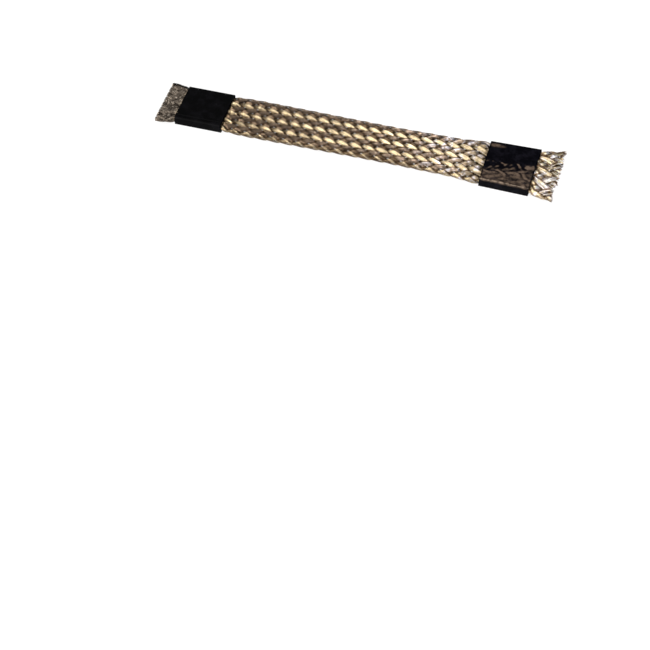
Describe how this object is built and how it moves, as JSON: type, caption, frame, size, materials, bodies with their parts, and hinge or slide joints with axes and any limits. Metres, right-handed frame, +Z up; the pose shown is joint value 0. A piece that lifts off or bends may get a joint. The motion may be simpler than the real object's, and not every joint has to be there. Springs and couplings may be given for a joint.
{
  "type": "flexible busbar braid",
  "caption": "Short flat strap of tinned copper wire braid, a woven tube pressed flat, bound with black tape near each cut end; one end cut clean, the other frayed.",
  "frame": {"origin": "under the middle of the strap, on the surface that its two tape bands rest on", "axes": "+X along the strap towards its frayed end, +Y across it, +Z up through its thickness"},
  "size_m": [0.15, 0.0247, 0.0038],
  "materials": {
    "tinned_copper": "satin",
    "matte_tape": "matte",
    "glossy_tape": "glossy"
  },
  "bodies": {
    "root": {"right_laid_bundle_01": "tinned_copper", "right_laid_bundle_02": "tinned_copper", "right_laid_bundle_03": "tinned_copper", "right_laid_bundle_04": "tinned_copper", "right_laid_bundle_05": "tinned_copper", "right_laid_bundle_06": "tinned_copper", "right_laid_bundle_07": "tinned_copper", "right_laid_bundle_08": "tinned_copper", "right_laid_bundle_09": "tinned_copper", "right_laid_bundle_10": "tinned_copper", "right_laid_bundle_11": "tinned_copper", "right_laid_bundle_12": "tinned_copper", "right_laid_bundle_13": "tinned_copper", "right_laid_bundle_14": "tinned_copper", "right_laid_bundle_15": "tinned_copper", "right_laid_bundle_16": "tinned_copper", "left_laid_bundle_01": "tinned_copper", "left_laid_bundle_02": "tinned_copper", "left_laid_bundle_03": "tinned_copper", "left_laid_bundle_04": "tinned_copper", "left_laid_bundle_05": "tinned_copper", "left_laid_bundle_06": "tinned_copper", "left_laid_bundle_07": "tinned_copper", "left_laid_bundle_08": "tinned_copper", "left_laid_bundle_09": "tinned_copper", "left_laid_bundle_10": "tinned_copper", "left_laid_bundle_11": "tinned_copper", "left_laid_bundle_12": "tinned_copper", "left_laid_bundle_13": "tinned_copper", "left_laid_bundle_14": "tinned_copper", "left_laid_bundle_15": "tinned_copper", "left_laid_bundle_16": "tinned_copper", "tape_band_clean_end": "matte_tape", "tape_band_frayed_end": "glossy_tape"}
  },
  "joints": []
}
